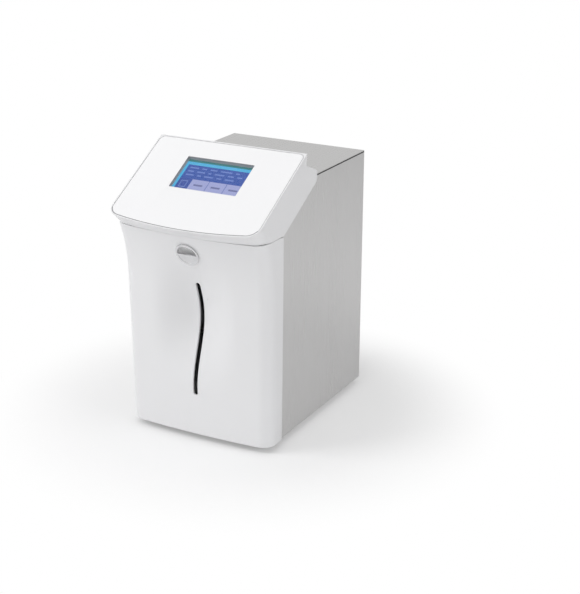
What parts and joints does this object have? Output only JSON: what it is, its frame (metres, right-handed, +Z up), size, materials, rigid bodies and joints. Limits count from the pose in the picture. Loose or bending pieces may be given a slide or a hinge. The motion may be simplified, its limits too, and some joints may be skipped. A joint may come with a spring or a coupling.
{
  "type": "electrolyte analyzer",
  "caption": "Bench electrolyte analyzer: white moulded front with sloping touch display, dished door with probe slot, brushed steel case.",
  "frame": {"origin": "bottom centre of the bounding box, on the bench", "axes": "+Z up, +X to the right seen from the front, +Y to the rear"},
  "size_m": [0.212, 0.3203, 0.3704],
  "materials": {
    "white_shell": "moulded gloss white",
    "white_plate": "smooth gloss white",
    "grey_plastic": "fine matt",
    "clear_glass": "clear",
    "lit_screen": "lit display",
    "circuit_board": "solder mask",
    "plated_steel": "zinc plated",
    "chrome": "polished",
    "black_plastic": "fine matt",
    "black_rubber": "matt",
    "brushed_case": "brushed",
    "grey_sheet": "powder coat",
    "aluminium": "machined",
    "white_nylon": "moulded",
    "motor_metal": "satin",
    "silicone": "milky",
    "electrode_body": "clear cast"
  },
  "bodies": {
    "analyzer": {"head_shell": "white_shell", "fascia_plate": "white_plate", "display_bezel": "grey_plastic", "touch_panel": "clear_glass", "lcd_module": "lit_screen", "display_board": "circuit_board", "display_posts": "plated_steel", "hinge_blocks": "grey_plastic", "door_magnets": "black_plastic", "case_body": "brushed_case", "top_cover": "brushed_case", "cover_seals": "black_rubber", "rubber_feet": "black_rubber", "foot_screws": "plated_steel", "rear_panel": "brushed_case", "rear_screws": "plated_steel", "power_inlet": "black_plastic", "switch_frame": "black_plastic", "serial_port": "plated_steel", "usb_port": "plated_steel", "reagent_fittings": "white_nylon", "fitting_nuts": "white_nylon", "bay_panel": "grey_sheet", "bay_screws": "plated_steel", "main_board": "circuit_board", "power_supply": "grey_sheet", "standoffs": "plated_steel", "probe_bracket": "aluminium", "probe_motor": "black_plastic", "wash_cup": "white_nylon", "pump_body": "grey_plastic", "pump_motor": "motor_metal", "pump_tube": "silicone", "electrode_rail": "aluminium", "reference_electrode": "electrode_body", "chloride_electrode": "electrode_body", "calcium_electrode": "electrode_body", "potassium_electrode": "electrode_body", "sodium_electrode": "electrode_body", "electrode_end_block": "grey_plastic", "valve_bodies": "motor_metal", "sample_detector": "black_plastic", "waste_tube": "silicone", "sample_tube": "silicone", "reagent_tubes": "silicone"},
    "door": {"front_door": "white_shell", "door_pull": "chrome", "door_hinge_pins": "plated_steel", "striker_plates": "plated_steel"},
    "probe": {"probe_arm": "aluminium", "probe_needle": "plated_steel", "probe_shaft": "plated_steel"},
    "rotor": {"pump_rotor": "white_nylon"},
    "roller_1": {"pump_roller_1": "plated_steel"},
    "roller_2": {"pump_roller_2": "plated_steel"},
    "roller_3": {"pump_roller_3": "plated_steel"},
    "knob": {"clamp_knob": "black_plastic"},
    "plunger_1": {"valve_plunger_1": "plated_steel"},
    "plunger_2": {"valve_plunger_2": "plated_steel"},
    "rocker": {"switch_rocker": "black_plastic"}
  },
  "joints": [
    {"name": "door_hinge", "type": "hinge", "parent": "analyzer", "child": "door", "pos_m": [0, -0.10975, 0.014], "axis": [1, 0, 0], "range_deg": [0, 80]},
    {"name": "probe_swing", "type": "hinge", "parent": "analyzer", "child": "probe", "pos_m": [0, -0.08175, 0.205], "axis": [-1, 0, 0], "range_deg": [0, 50]},
    {"name": "pump_spin", "type": "hinge", "parent": "analyzer", "child": "rotor", "pos_m": [-0.056, -0.07775, 0.092], "axis": [0, 1, 0], "continuous": true},
    {"name": "roller_1_spin", "type": "hinge", "parent": "rotor", "child": "roller_1", "pos_m": [-0.056, -0.07775, 0.1064], "axis": [0, 1, 0], "continuous": true},
    {"name": "roller_2_spin", "type": "hinge", "parent": "rotor", "child": "roller_2", "pos_m": [-0.06847, -0.07775, 0.0848], "axis": [0, 1, 0], "continuous": true},
    {"name": "roller_3_spin", "type": "hinge", "parent": "rotor", "child": "roller_3", "pos_m": [-0.04353, -0.07775, 0.0848], "axis": [0, 1, 0], "continuous": true},
    {"name": "knob_turn", "type": "hinge", "parent": "analyzer", "child": "knob", "pos_m": [0.058, -0.06975, 0.205], "axis": [0, 0, 1], "range_deg": [-20, 340]},
    {"name": "valve_1_stroke", "type": "slide", "parent": "analyzer", "child": "plunger_1", "axis": [0, -1, 0], "range_m": [0, 0.0015], "stiffness_N_per_m": 300},
    {"name": "valve_2_stroke", "type": "slide", "parent": "analyzer", "child": "plunger_2", "axis": [0, -1, 0], "range_m": [0, 0.0015], "stiffness_N_per_m": 300},
    {"name": "switch_rock", "type": "hinge", "parent": "analyzer", "child": "rocker", "pos_m": [0.028, 0.14615, 0.042], "axis": [0, 0, 1], "range_deg": [-9, 9]}
  ],
  "couplings": [
    {"joint": "roller_1_spin", "follows": "pump_spin", "ratio": -3.88},
    {"joint": "roller_2_spin", "follows": "pump_spin", "ratio": -3.88},
    {"joint": "roller_3_spin", "follows": "pump_spin", "ratio": -3.88}
  ]
}
